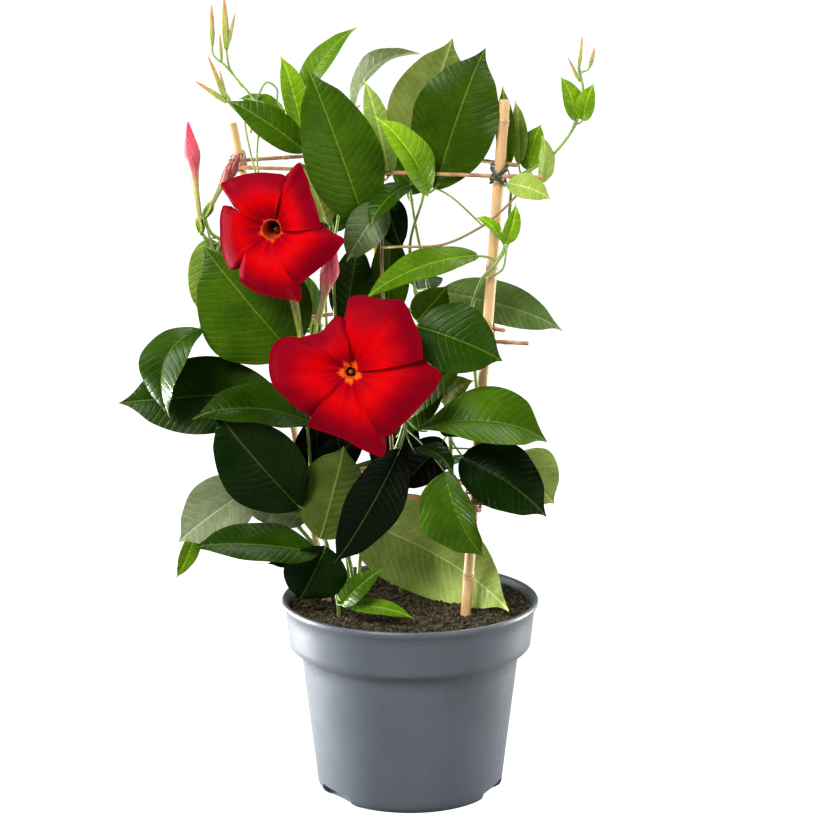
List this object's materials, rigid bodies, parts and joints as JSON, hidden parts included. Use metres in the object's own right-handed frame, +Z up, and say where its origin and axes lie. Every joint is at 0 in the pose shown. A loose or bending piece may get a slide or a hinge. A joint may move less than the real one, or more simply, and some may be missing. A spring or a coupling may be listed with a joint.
{
  "type": "potted mandevilla",
  "caption": "flowering climbing plant with red trumpet blooms, trained up bamboo canes joined by thin sticks, in a round tapered nursery pot",
  "frame": {"origin": "centre of the pot's flat underside, where it stands", "axes": "+Z up along the pot's axis, -Y toward the side that the flowers face, +X to that side's right"},
  "size_m": [0.3015, 0.224, 0.524],
  "materials": {
    "pot_plastic": "satin grey-blue moulded plastic",
    "soil": "dark crumbly potting soil",
    "bamboo": "smooth tan bamboo",
    "rattan": "brown rattan",
    "clip_plastic": "dark green twist tie",
    "tie_fibre": "pink-brown dried fibre",
    "foliage": "glossy green leaves on green stems",
    "petals_red": "velvety saturated red",
    "bud_pink": "smooth pink rolled petals",
    "bud_wilted": "shrivelled brownish red petals"
  },
  "bodies": {
    "root": {"bud_middle": "bud_pink", "bud_tall": "bud_pink", "bud_wilted": "bud_wilted", "cane_back": "bamboo", "cane_left": "bamboo", "cane_right": "bamboo", "flower_lower": "petals_red", "flower_upper": "petals_red", "pot": "pot_plastic", "soil": "soil", "stick_low_back_right": "rattan", "stick_low_left_back": "rattan", "stick_low_right_left": "rattan", "stick_middle_back_right": "rattan", "stick_middle_left_back": "rattan", "stick_middle_right_left": "rattan", "stick_top_back_right": "rattan", "stick_top_left_back": "rattan", "stick_top_right_left": "rattan", "tie_low_back": "tie_fibre", "tie_low_left": "tie_fibre", "tie_low_right": "tie_fibre", "tie_middle_back": "tie_fibre", "tie_middle_left": "tie_fibre", "tie_middle_right": "tie_fibre", "tie_top_back": "tie_fibre", "tie_top_left": "tie_fibre", "tie_top_right": "clip_plastic", "vine_back_left": "foliage", "vine_back_right": "foliage", "vine_cane": "foliage", "vine_far_left": "foliage", "vine_front": "foliage", "vine_left": "foliage", "vine_right": "foliage", "vine_top": "foliage", "vine_top_left": "foliage"}
  },
  "joints": []
}
